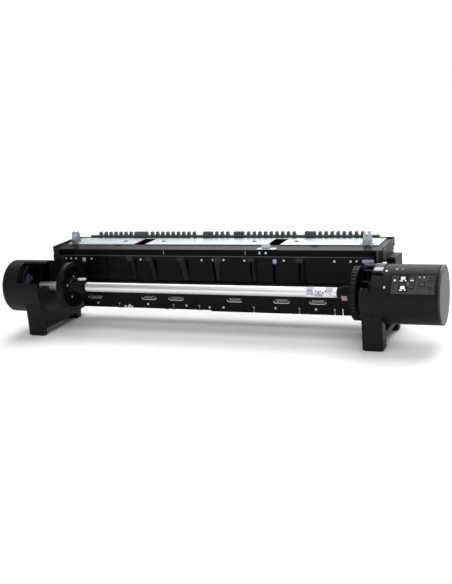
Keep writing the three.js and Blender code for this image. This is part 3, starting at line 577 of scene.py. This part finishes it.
# ---------------------------------------------------------------- spool
def flange(name, node, body, flip):
    """Deep-rimmed disc with ribs on both sides; flip turns its hub to the left."""
    low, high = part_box(node)
    face = (high.x if flip else low.x) / MM
    length = (high.x - low.x) / MM

    def at(x):
        return face - x if flip else face + x

    def place(x, r, degrees):
        return spun(at(x), r, degrees)

    rim = 20.0
    bm = bmesh.new()
    channel = [(3, 89), (4, 86), (rim - 4, 86), (rim - 3, 89)]
    seam = [(9.4, 89), (10, 88.5), (10.6, 89)]
    profile = [(0.6, 76), (0, 77), (0, 87.8), (0.35, 88.65), (1.2, 89)]
    profile += channel if flip else seam
    profile += [(rim - 1.2, 89), (rim - 0.35, 88.65), (rim, 87.8), (rim, 77), (rim - 0.6, 76)]
    profile += [(13, 75.5), (13, 46), (16, 44), (16, 30)]
    profile += [(rim + 4, 26), (length - 20, 24), (length - 18, 23), (length - 15, 19.4), (length - 2, 19)]
    profile += [(length, 18), (length, 17.4), (0, 17.4), (0, 24), (6, 26), (6, 75.5), (0.6, 76)]
    lathe(bm, profile, 144, place=place)
    rib_half = 0.9 * 57.3  # half a rib's thickness, as degrees at a radius of 1 mm
    for i in range(30):
        t = 12.0 * i + 4
        for x0, x1, r0, r1 in ((1.2, 6.4, 25.5, 76), (12.6, 18.6, 45, 76)):
            tapered_rib(bm, (x0, x1), ((r0, rib_half / 30), (r1, rib_half / 75)), t, place)
    for t in range(0, 360, 30):
        block(bm, (rim + 4, length - 24), (20, 27.5), (t - 3.2, t + 3.2), place)
        block(bm, (length - 14, length - 3), (18, 20.6), (t - 5, t + 5), place)
    # The fixed flange's lattice bars take the lighter plastic: painted highlights on the bars.
    if flip:
        for t in range(0, 360, 9):
            block(bm, (3.2, rim - 3.2), (85, 88.6), (t - 1.4, t + 1.4), place, index=1)
        for t in (22, 142, 262):
            block(bm, (4, rim - 4), (85.5, 88.9), (t - 5, t + 5), place)
    piece(name, bm, [flange_plastic, lattice_highlight_plastic], body=body, replaces=[node], bevel=0.4,
          sharp=35)
    # Thin lips on both faces of the rim in the lighter, glossier plastic: a painted highlight along the
    # rim's inner edge.
    lips = bmesh.new()
    for x, out in ((rim, 0.25), (0, -0.25)):
        ring = [(x, 76.9), (x + out, 77.2), (x + out, 78.2), (x, 78.5)]
        lathe(lips, ring if out > 0 else ring[::-1], 144, place=place)
    piece(name + "_lips", lips, [rim_highlight_gloss], body=body)
    heads = bmesh.new()
    look = Vector((-1 if flip else 1, 0, 0))
    for t in (20, 110, 200, 290):
        screw(heads, place(16, 37, t), look, 3.6, 2)
    for t in (35, 155, 275):
        screw(heads, place(0.0, 20.6, t), -look, 2.6, 1.1)
    piece(name + "_screws", heads, [screw_steel], body=body)


def spool():
    """Tube of the spool, its end plugs, the label wrapped round it and the fixed flange's tan tab."""
    low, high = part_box("spool_shaft")
    x0, x1 = low.x / MM, high.x / MM
    bm = bmesh.new()
    wall = [(x0, 13.5), (x0, 16), (x0 + 1, 17), (x1 - 1, 17), (x1, 16), (x1, 13.5), (x0, 13.5)]
    lathe(bm, wall, 120)
    piece("spool_tube", bm, [aluminium], body="spool", replaces=["spool_shaft"])
    ends = bmesh.new()
    lathe(ends, [(x0, 0), (x0, 12.6), (x0 + 0.6, 13.4), (x0 + 14, 13.4), (x0 + 14, 0)], 72)
    lathe(ends, [(x1, 0), (x1, 12.6), (x1 - 0.6, 13.4), (x1 - 14, 13.4), (x1 - 14, 0)], 72)
    lathe(ends, [(532, 17.02), (532, 17.2), (x1 - 0.3, 17.2), (x1 - 0.3, 17.02)], 96)
    piece("spool_end_plugs", ends, [black_plastic], body="spool")
    label = bmesh.new()
    lathe(label, [(345, 17.02), (345, 17.1), (440, 17.1), (440, 17.02)], 60, -60, 110)
    # X, first and last angle, width of each printed mark
    marks = ((379, 14, 32, 5), (387, 3, 25, 6), (395, 14, 31, 4), (403, 2, 21, 5), (412, 12, 30, 5),
             (421, 4, 18, 4), (366, -14, -4, 7), (355, 22, 46, 3), (359, 30, 40, 8), (429, -10, 12, 3))
    for x, a, b, w in marks:
        lathe(label, [(x, 17.08), (x, 17.25), (x + w, 17.25), (x + w, 17.08)], 8, a, b, index=1)
    # tinted fields: both ends in X, first and last angle
    for left, right, a, b in ((347, 371, -22, 84), (376, 404, -40, 2), (414, 438, 20, 88)):
        lathe(label, [(left, 17.08), (left, 17.18), (right, 17.18), (right, 17.08)], 16, a, b, index=2)
    piece("spool_label", label, [label_paper, label_ink, label_tint], body="spool")
    tab = bmesh.new()
    r = 24.4
    outline = [(y, z + AXIS_Z) for y, z in arc(0, 0, r, 190, 230, 12) + arc(0, 0, r + 3.9, 230, 190, 12)]
    low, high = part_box("torque_tab")
    prism(tab, "X", outline, low.x / MM, high.x / MM)
    piece("fixed_hub_tab", tab, [tan], body="spool", replaces=["torque_tab"], bevel=1.0)


def levers():
    """Release lever over the right journal, and the lock lever of the roll stopper."""
    low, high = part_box("release_lever")
    x0, x1 = low.x / MM, high.x / MM
    bm = bmesh.new()
    # angle above the front and radius of the lever's finger-shaped top
    knots = ((56, 98.0), (57.5, 100.4), (60, 101.4), (63, 101.2), (67, 99.4), (71, 97.6), (74, 97.0),
             (77, 97.4), (80, 99.4), (82.5, 100.8), (85, 101.0), (92, 100.2))
    outer = [(-r * math.cos(math.radians(t)), r * math.sin(math.radians(t))) for t, r in knots]
    inner = arc(0, 0, 95.5, 88, 116, 18)
    lip = arc(0, 0, 91.5, 116, 124, 6)
    outline = [(y, z + AXIS_Z) for y, z in outer + inner + lip]
    prism(bm, "X", outline, x0 + 0.6, x1 - 1.6)
    # Above the first angle the lever takes the darker blue, painted shade on its top; below the second it
    # takes black, a painted shadow of the slot beneath it.
    painted_shade_from, painted_shadow_below = 74.5, 59.5  # degrees above the front
    for f in bm.faces:
        centre = f.calc_center_median() / MM
        t = math.degrees(math.atan2(centre.z - AXIS_Z, AXIS_Y - centre.y))
        f.material_index = 1 if t > painted_shade_from else 2 if t < painted_shadow_below else 0
    prism(bm, "X", circle(8, AXIS_Z + 88, 6, 32), x0 + 3, x1 - 7, index=2)
    prism(bm, "X", rect(-4, 8, AXIS_Z + 86, AXIS_Z + 96.5), x0 + 4, x1 - 8, index=2)
    piece("journal_lever", bm, [pale_blue, painted_shade_blue, black_plastic], body="release",
          replaces=["release_lever"], bevel=1.2, segments=3)
    low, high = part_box("lock_lever")
    z0, z1 = low.z / MM + 1.5, high.z / MM - 1.5
    bm = bmesh.new()
    turns = [2 * math.pi * i / 48 for i in range(48)]
    paddle = [(-512 + 18 * math.cos(t), 11 * math.sin(t)) for t in turns]
    dish = [(-511 + 10 * math.cos(t), 6 * math.sin(t)) for t in turns]
    prism(bm, "Z", paddle, z0, z1)
    prism(bm, "Z", dish, z1 - 0.2, z1 + 0.6)
    prism(bm, "Z", rect(-538, -526, -7, 7), z0, z1, index=1)
    prism(bm, "Y", circle(-540, (z0 + z1) / 2, 4, 28), -10, 10, index=1)
    piece("stopper_paddle", bm, [lock_blue, black_plastic], body="stopper_lock",
          replaces=["lock_lever"], bevel=1.0, segments=3)


# ---------------------------------------------------------------- paper guide, panel and top
GUIDE_LINE = ((104.0, 262.0), (107.0, 204.5), (118.0, 168.0))  # Y and Z down the face of the paper guide
# Screws by X and Z, tabs by both ends in X.
GUIDE_SCREWS = ((-635, 252), (-613, 252), (-592, 252), (-524, 251), (-318, 250), (-74, 250), (-30, 251),
                (11, 251), (89, 250), (235, 251), (414, 250), (470, 250), (491, 251))
PANEL_SCREWS = ((-518, 81), (-384, 75), (-306, 81), (-149, 80), (-57, 76), (-3, 77), (195, 80), (343, 80))
GUIDE_TABS = ((-378, -350), (-300, -273), (-173, -145), (-30, 3), (101, 127), (277, 305))
# A guide rib leans: where it starts and ends in X at its top, then at its foot.
GUIDE_RIBS = (((-480, -471), (-478, -473)), ((-365, -350), (-359, -349)), ((-287, -274), (-279, -267)),
              ((-167, -146), (-156, -139)), ((-27, 0), (-27, -13)), ((116, 128), (111, 126)),
              ((295, 305), (288, 303)))
# Middles in X of the lower panel's roller slots, and of its slits and keyholes that have a backing.
ROLLER_X = (-536, -306, -196, 35, 212, 344)
SLIT_X = (-239, 242, 305, 368)
KEYHOLE_X = (-436, -210, -106, 106, 275, 402)


def guide_y(z):
    """Where the face of the paper guide is at a height."""
    (y0, z0), (y1, z1), (y2, z2) = GUIDE_LINE
    return y0 + (z0 - z) * (y1 - y0) / (z0 - z1) if z > z1 else y1 + (z1 - z) * (y2 - y1) / (z1 - z2)


def guide_details():
    """Screws, tabs, clips and ribs of the paper guide; carriers, ribs and slits of the lower panel."""
    screws = bmesh.new()
    for x, z in GUIDE_SCREWS:
        screw(screws, P(x, guide_y(z), z), (0, -1, 0.05), 4.2, 2.2)
    for x, z in PANEL_SCREWS:
        screw(screws, P(x - 7, 117.9, z - 4), (0, -1, 0), 4.4, 2.2)
    for x in (149.5, 172.5):
        screw(screws, P(x, 99.9, 278), (0, -1, 0), 4.4, 2.2)
    piece("guide_screws", screws, [screw_steel])
    tabs = bmesh.new()
    for x0, x1 in GUIDE_TABS:
        prism(tabs, "Y", rounded(x0, x1, 247, 260.5, 2.5), 102.4, 104.4)
        prism(tabs, "Y", rounded(x0 + 4, x1 - 4, 243.5, 247.4, 1.5), 102.9, 104.9)
    piece("guide_tabs", tabs, [tab_plastic], bevel=0.6)
    # A lighter band along the top of the guide: a painted highlight.
    band = bmesh.new()
    prism(band, "X", [(101.2, 262.5), (104.2, 262.5), (104.2, 265.7), (101.2, 265.7)], -643, 543)
    piece("guide_top_band", band, [band_sheet], bevel=0.5)
    clips = bmesh.new()
    for x, z in ((-556, 249), (202, 249)):
        prism(clips, "Y", rounded(x - 7, x + 7, z - 6, z + 6, 2), 101.5, 104.3)
        prism(clips, "Y", rounded(x - 4, x + 4, z - 10, z - 5, 1.5), 102.3, 104.3)
    piece("guide_clips", clips, [blue], bevel=0.8)
    # Each rib stands for a lit wall of one of the guide's channels, in the lighter plastic: painted light.
    ribs = bmesh.new()
    for ends in GUIDE_RIBS:
        loops = []
        for (x0, x1), z in zip(ends, (247.5, 170)):
            y = guide_y(z) + 0.3
            row = [(x0 + 0.5, y), (x0 + 2.2, y), (x1, y + 11), (x1, y + 13)]
            loops.append([ribs.verts.new(P(u, v, z)) for u, v in row])
        ribs.faces.new(loops[0])
        ribs.faces.new(list(reversed(loops[1])))
        for i in range(4):
            j = (i + 1) % 4
            ribs.faces.new((loops[0][i], loops[1][i], loops[1][j], loops[0][j]))
    piece("guide_ribs", ribs, [rib_painted_light_plastic], bevel=0.4)
    strip = bmesh.new()
    prism(strip, "Y", rounded(559.6, 567.5, 253, 289, 1), 96.6, 97.3)
    piece("end_plate_edge", strip, [band_sheet], bevel=0.3)
    # Each carrier's faces along its lower edge take bright steel, a painted highlight; its other faces take
    # black plastic, painted shade.
    carriers = bmesh.new()
    for x in ROLLER_X:
        outer = rounded(x - 31, x + 31, 93.6, 114.4, 10.4, 8)
        inner = rounded(x - 28.6, x + 28.6, 96.4, 112.4, 7.9, 8)
        rings = []
        for y in (118.1, 116.9):
            rings.append([carriers.verts.new(P(u, y, v)) for u, v in outer])
            rings.append([carriers.verts.new(P(u, y, v)) for u, v in inner])
        back_out, back_in, front_out, front_in = rings
        n = len(outer)
        sides = ((back_out, front_out), (front_out, front_in), (front_in, back_in), (back_in, back_out))
        for i in range(n):
            j = (i + 1) % n
            on_painted_highlight = min(outer[i][1], outer[j][1]) < 100.5
            for a, b in sides:
                face = carriers.faces.new((a[i], a[j], b[j], b[i]))
                face.material_index = 0 if on_painted_highlight else 1
    piece("roller_carriers", carriers, [carrier_highlight_steel, black_plastic], bevel=0.35)
    plates = bmesh.new()
    prism(plates, "Y", rounded(-401, -377, 63.5, 69, 1.5), 117.3, 118.1)
    prism(plates, "Y", rounded(-413, -406, 63, 71, 1.5), 117.1, 118.1)
    piece("panel_plates", plates, [screw_steel], bevel=0.3)
    seams = bmesh.new()
    for x in (-470, -352, -262, -120, 66, 176, 300, 420):
        prism(seams, "Y", rounded(x - 3.5, x + 3.5, 88, 158, 2), 116.6, 118.1)
    piece("panel_ribs", seams, [sheet_black], bevel=0.6)
    backing = bmesh.new()
    for x in SLIT_X:
        prism(backing, "Y", rounded(x - 7, x + 9, 58.5, 84, 2), 120.9, 122.1)
    for x in KEYHOLE_X:
        prism(backing, "Y", rounded(x - 8, x + 8, 58.5, 84, 2), 120.9, 122.1, index=1)
    piece("slit_backing", backing, [sheet_black, steel], bevel=0.3)


REAR_Y = 238.4  # outer face of the rear panel
REAR_BAYS = (-545, -347, -149, 49, 247, 445)  # middle of each bay in X


def rear_details():
    """Pressed beads, louvres and screws of the rear panel."""
    between = [(a + b) / 2 for a, b in zip(REAR_BAYS, REAR_BAYS[1:])]
    beads = bmesh.new()
    for x in REAR_BAYS:
        for z in (92, 150, 208):
            prism(beads, "Y", rounded(x - 74, x + 74, z - 5, z + 5, 4.9), REAR_Y, REAR_Y + 2)
    for x in between:
        prism(beads, "Y", rounded(x - 4, x + 4, 74, 238, 3.9), REAR_Y, REAR_Y + 2)
    for i in range(9):
        z = 163 + 4.4 * i
        prism(beads, "Y", rounded(400, 490, z - 1.2, z + 1.2, 1.1), REAR_Y, REAR_Y + 1.6)
    piece("rear_beads", beads, [sheet_black], bevel=0.7, segments=3)
    screws = bmesh.new()
    for x in (-636, *between, 538):
        for z in (68, 244):
            screw(screws, P(x, REAR_Y, z), (0, 1, 0), 4.0, 1.8)
    piece("rear_screws", screws, [screw_steel])


def top_details():
    """Plugs, tabs, clips and screws of the top plate and tray, and the screws of both end plates."""
    plugs = bmesh.new()
    for x in (-432, -271, 90, 249):
        prism(plugs, "Z", circle(x, 214, 8.5, 32), 294.9, 295.7)
        prism(plugs, "Z", circle(x, 214, 4.0, 24), 295.6, 296.4)
    piece("plate_plugs", plugs, [rubber], bevel=0.3)
    bm = bmesh.new()
    for x in (-433, 332):
        prism(bm, "Z", rounded(x - 13, x + 13, 154, 170, 2), 295.0, 296.2)
    piece("plate_tabs", bm, [zinc], bevel=0.4)
    marks = bmesh.new()
    for x in (-219.4, 96.3):
        prism(marks, "Y", rounded(x - 1.6, x + 1.6, 270, 286, 1.4), 99.2, 100.1)
    piece("tray_clips", marks, [carrier_steel], bevel=0.3)
    screws = bmesh.new()
    for x in (-632, 510):
        for dx in (-20, 20):
            screw(screws, P(x + dx, 188, 297.2), (0, 0, 1), 2.9, 1.6)
    for x in (-560, -180, 200, 440):
        screw(screws, P(x, 268, 295.0), (0, 0, 1), 4.2, 2)
    for y, z in ((128, 256), (186, 243), (222, 262), (120, 289), (238, 289)):
        screw(screws, P(583.3, y, z), (1, 0, 0), 3.0, 1.4)
        screw(screws, P(-683.3, y, z), (-1, 0, 0), 3.0, 1.4)
    piece("top_screws", screws, [screw_steel])


# ---------------------------------------------------------------- control panel
# Outer faces of the panel's plate, displays and keys, out from the spool axis.
PLATE_OUT = 87.3
GLASS_OUT = 87.72
KEY_OUT = 88.32
PRINT = 0.12  # how far a printed mark stands out


def panel_details():
    """Generic marks on the displays, keys and drum, and the screws round the panel."""
    white = bmesh.new()
    for x, up in ((681, 17.5), (681, -13.5)):
        prism(white, "panel", rounded(x - 8, x + 6, up - 3, up + 8, 1.6), GLASS_OUT, GLASS_OUT + PRINT)
        prism(white, "panel", rect(x - 11, x - 1, up - 8, up - 4.6), GLASS_OUT, GLASS_OUT + PRINT)
        prism(white, "panel", rounded(x + 5, x + 10, up - 7.5, up - 3, 1), GLASS_OUT, GLASS_OUT + PRINT)
    prism(white, "panel", rounded(702, 713, 11, 14.4, 1), KEY_OUT, KEY_OUT + PRINT)
    for x, up in ((694.6, 5), (694.6, -3.5)):
        prism(white, "panel", circle(x + 1.2, up, 1.7, 20), PLATE_OUT + 0.02, PLATE_OUT + 0.02 + PRINT)
    for x in (730.5, 744.6):
        prism(white, "panel", circle(x, 24.0, 1.9, 24), PLATE_OUT + 0.02, PLATE_OUT + 0.5)
    piece("panel_pictograms", white, [white_mark], bevel=0.06, segments=1)
    outline = bmesh.new()

    def frame_of(points, inner):
        """A thin printed line between two outlines on a key."""
        n = len(points)
        out = KEY_OUT + 0.15
        a = [outline.verts.new(on_panel(u, v, out)) for u, v in points]
        b = [outline.verts.new(on_panel(u, v, out)) for u, v in inner]
        c = [outline.verts.new(on_panel(u, v, out - 0.3)) for u, v in points]
        d = [outline.verts.new(on_panel(u, v, out - 0.3)) for u, v in inner]
        for i in range(n):
            j = (i + 1) % n
            for p, q in ((a, b), (b, d), (d, c), (c, a)):
                outline.faces.new((p[i], p[j], q[j], q[i]))

    for x, up, w, h in ((708, 16, 19, 21), (708, -8.5, 16, 13), (738.5, 1.5, 20, 15)):
        x0, x1, v0, v1 = x - w / 2, x + w / 2, up - h / 2, up + h / 2
        frame_of(rounded(x0 + 0.6, x1 - 0.6, v0 + 0.6, v1 - 0.6, 1),
                 rounded(x0 + 2.4, x1 - 2.4, v0 + 2.4, v1 - 2.4, 0.6))
    arrow_x = 764.5
    for up, s in ((18, 1), (-14, -1)):
        frame_of([(arrow_x - 7.2, up - s * 5.8), (arrow_x + 7.2, up - s * 5.8), (arrow_x, up + s * 5.4)],
                 [(arrow_x - 3.7, up - s * 3.9), (arrow_x + 3.7, up - s * 3.9), (arrow_x, up + s * 1.9)])
    piece("key_outlines", outline, [key_line])
    marks = bmesh.new()
    for x, a, b, w in ((652, 69, 72.5, 9), (654, 66, 68.4, 5), (671, 67.5, 69.2, 6), (673, 71, 73, 4)):
        lathe(marks, [(x, 95.9), (x, 96.12), (x + w, 96.12), (x + w, 95.9)], 8, a, b)
    piece("drum_pictograms", marks, [grey_mark])
    screws = bmesh.new()
    for x, t in ((625, 63), (625, 27), (656, 41)):
        screw(screws, spun(x, 95.8, t), spun(x, 96.8, t) - spun(x, 95.8, t), 3.8, 1.6)
    piece("drum_screws", screws, [screw_steel])


def window_interiors():
    """What the left drum's loading window shows: three curved ribs and a blue mark beside the journal."""
    bm = bmesh.new()
    curve = arc(0, AXIS_Z, 86, 60, 175, 24) + arc(0, AXIS_Z, 70, 175, 60, 24)
    for x in (-735, -722, -716):
        prism(bm, "X", curve, x, x + 3)
    piece("window_ribs", bm, [black_plastic], bevel=0.6)
    # The mark takes the same darker blue: painted shade inside the window.
    bits = bmesh.new()
    prism(bits, "X", rounded(-34, -20, 198, 216, 3), -712.5, -709)
    piece("journal_mark", bits, [window_shade_blue], bevel=0.8)


drum_left()
drum_right()
support()
caps()
flange("stopper_flange", "flange_left", "stopper", False)
flange("fixed_flange", "flange_right", "spool", True)
spool()
levers()
guide_details()
rear_details()
top_details()
panel_details()
window_interiors()

# Carried-over nodes with rounded edges, in millimetres.
SOFTENED = {
    "top_tray": 0.9,
    "zinc_plate": 0.5,
    "rear_comb": 0.8,
    "post_bracket_left": 0.6,
    "post_bracket_right": 0.6,
    "middle_bracket": 0.5,
    "paper_guide_left": 0.8,
    "paper_guide_right": 0.8,
    "lower_panel_left": 0.6,
    "lower_panel_right": 0.6,
    "cross_beam": 2.0,
    "rear_panel": 0.6,
    "end_plate_left": 0.6,
    "end_plate_right": 0.6,
    "leg_left": 1.0,
    "leg_right": 1.0,
    "foot_shoe_left": 1.0,
    "foot_shoe_right": 1.0,
    "pad_front_left": 1.0,
    "pad_front_right": 1.0,
    "pad_rear_left": 1.0,
    "pad_rear_right": 1.0,
    "cradle_left": 1.0,
    "cradle_right": 1.0,
    "shaft_holder_left": 1.2,
    "guide_latch": 0.5,
    "panel_plate": 0.35,
    "mode_key_upper": 0.5,
    "mode_key_lower": 0.5,
    "square_key": 0.5,
    "up_key": 0.4,
    "down_key": 0.4,
    "display_upper": 0.3,
    "display_lower": 0.3,
}
for name, width in SOFTENED.items():
    soften(frame["nodes"][name], width, 3 if width > 1.5 else 2)


# ---------------------------------------------------------------- camera, floor and light
CAMERA_LENS = 57.76  # on a sensor 36 mm wide
CAMERA_AT = (1287.2, -2859.3, 949.1)
CAMERA_TURN = (23.31, 14.17, -4.64)  # degrees to the left, down, and of roll


def camera():
    """Camera at the photograph's viewing angle."""
    data = bpy.data.cameras.new("camera")
    data.sensor_width = 36
    data.lens = CAMERA_LENS
    data.clip_end = 50
    cam = bpy.data.objects.new("camera", data)
    bpy.context.scene.collection.objects.link(cam)
    yaw, pitch, roll = (math.radians(v) for v in CAMERA_TURN)
    ahead = Vector((-math.sin(yaw) * math.cos(pitch), math.cos(yaw) * math.cos(pitch), -math.sin(pitch)))
    right = Vector((math.cos(yaw), math.sin(yaw), 0))
    up = right.cross(ahead)
    right, up = right * math.cos(roll) + up * math.sin(roll), up * math.cos(roll) - right * math.sin(roll)
    turn = Matrix((right, up, -ahead)).transposed().to_4x4()
    cam.matrix_world = Matrix.Translation(P(*CAMERA_AT)) @ turn
    bpy.context.scene.camera = cam


def area_light(name, at, towards, size, size_y, power):
    """Soft rectangular lamp at a point, looking towards another, in metres."""
    data = bpy.data.lights.new(name, "AREA")
    data.shape = "RECTANGLE"
    data.size, data.size_y = size, size_y
    data.energy = power
    light = bpy.data.objects.new(name, data)
    light.location = at
    light.rotation_euler = (Vector(towards) - Vector(at)).to_track_quat("-Z", "Y").to_euler()
    bpy.context.scene.collection.objects.link(light)


def sun(name, away, strength, angle):
    """Even light from one side of the sky; away points from the object to it."""
    data = bpy.data.lights.new(name, "SUN")
    data.energy = strength
    data.angle = math.radians(angle)
    light = bpy.data.objects.new(name, data)
    light.rotation_euler = Vector(away).to_track_quat("Z", "Y").to_euler()
    bpy.context.scene.collection.objects.link(light)


def floor():
    """Plain pale floor, with a faint cloudiness."""
    mesh = bpy.data.meshes.new("floor")
    half, steps = 30.0, 12
    bm = bmesh.new()
    bmesh.ops.create_grid(bm, x_segments=steps, y_segments=steps, size=half)
    bm.to_mesh(mesh)
    bm.free()
    plane = bpy.data.objects.new("floor", mesh)
    bpy.context.scene.collection.objects.link(plane)
    m, tree, shader = material("floor_paper")
    link(tree, ramp(tree, noise(tree, 3, 2), [(0.3, (0.86, 0.86, 0.86)), (0.7, (0.9, 0.9, 0.9))]),
         shader.inputs["Base Color"])
    shader.inputs["Roughness"].default_value = 0.9
    shader.inputs["Specular IOR Level"].default_value = 0.1
    mesh.materials.append(m)


def world():
    """Weak even light; the backdrop itself is plain white."""
    w = bpy.data.worlds.new("studio")
    bpy.context.scene.world = w
    w.use_nodes = True
    tree = w.node_tree
    back = tree.nodes["Background"]
    back.inputs["Color"].default_value = (1, 1, 1, 1)
    back.inputs["Strength"].default_value = 0.16
    white = tree.nodes.new("ShaderNodeBackground")
    white.inputs["Color"].default_value = (1, 1, 1, 1)
    white.inputs["Strength"].default_value = 1.1
    path = tree.nodes.new("ShaderNodeLightPath")
    mix = tree.nodes.new("ShaderNodeMixShader")
    link(tree, path.outputs["Is Camera Ray"], mix.inputs["Fac"])
    link(tree, back.outputs[0], mix.inputs[1])
    link(tree, white.outputs[0], mix.inputs[2])
    link(tree, mix.outputs[0], tree.nodes["World Output"].inputs["Surface"])


camera()
floor()
world()
sun("top_back", (0, 1.5, 2.3), 2.9, 60)
sun("low_back", (0, 2.0, 0.9), 1.45, 60)
area_light("overhead", (0.8, -1.4, 3.0), (0.3, 0, 0.2), 4.0, 2.0, 56)
area_light("right_side", (2.3, 0.3, 0.9), (0.7, 0, 0.2), 1.2, 1.2, 4.5)
area_light("front_fill", (0.6, -4.2, 2.4), (0, 0, 0.2), 5.0, 3.0, 42)
bpy.context.scene.view_settings.view_transform = "Standard"
